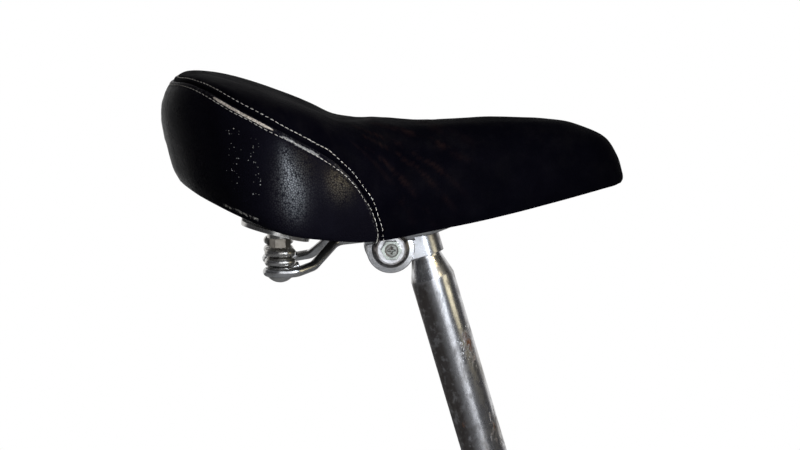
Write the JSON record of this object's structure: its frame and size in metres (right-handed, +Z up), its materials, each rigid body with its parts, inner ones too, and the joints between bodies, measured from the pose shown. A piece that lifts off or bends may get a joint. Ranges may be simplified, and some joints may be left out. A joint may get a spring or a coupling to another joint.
{
  "type": "bicycle saddle with seat post",
  "caption": "Worn sprung bicycle saddle on rails, clamped to a leaning round seat post that slides into a frame; the saddle swivels, tilts and slides.",
  "frame": {"origin": "on the seat post's axis at its insertion line, where it enters the frame's seat tube", "axes": "+X forward to the saddle's nose, +Y to the rider's left, +Z up"},
  "size_m": [0.329, 0.2156, 0.396],
  "materials": {
    "post_chrome": "tarnished, with rust blotches",
    "clamp_chrome": "pitted and grimy",
    "fastener_steel": "dull, dirty",
    "rail_steel": "tarnished",
    "spring_steel": "grimy, rust-stained",
    "pillar_rubber": "dusty",
    "pan_plastic": "dusty",
    "cover_vinyl": "worn, scuffed, stitched"
  },
  "bodies": {
    "post": {"seat_post": "post_chrome"},
    "clamp": {"clamp_strap": "clamp_chrome", "clamp_bolt": "fastener_steel", "clamp_nut": "fastener_steel"},
    "rail_carrier": {"inner_cheek_right": "clamp_chrome", "inner_cheek_left": "clamp_chrome", "outer_cheek_right": "clamp_chrome", "outer_cheek_left": "clamp_chrome"},
    "saddle": {"rail_right": "rail_steel", "rail_left": "rail_steel", "coil_spring_right": "spring_steel", "coil_spring_left": "spring_steel", "spring_bolt_right": "spring_steel", "spring_bolt_left": "spring_steel", "spring_nut_right": "fastener_steel", "spring_nut_left": "fastener_steel", "spring_plate": "spring_steel", "spring_pillar_right": "pillar_rubber", "spring_pillar_left": "pillar_rubber", "nose_clip": "spring_steel", "base_pan": "pan_plastic", "cushion": "cover_vinyl"}
  },
  "joints": [
    {"name": "clamp_swivel", "type": "hinge", "parent": "post", "child": "clamp", "pos_m": [0, 0, 0], "axis": [-0.284, 0, 0.9588], "continuous": true},
    {"name": "saddle_tilt", "type": "hinge", "parent": "clamp", "child": "rail_carrier", "pos_m": [-0.07384, 0, 0.16617], "axis": [0, 1, 0], "range_deg": [-15, 15]},
    {"name": "rail_slide", "type": "slide", "parent": "rail_carrier", "child": "saddle", "axis": [0.9945, 0, 0.1045], "range_m": [-0.007, 0.007]}
  ]
}
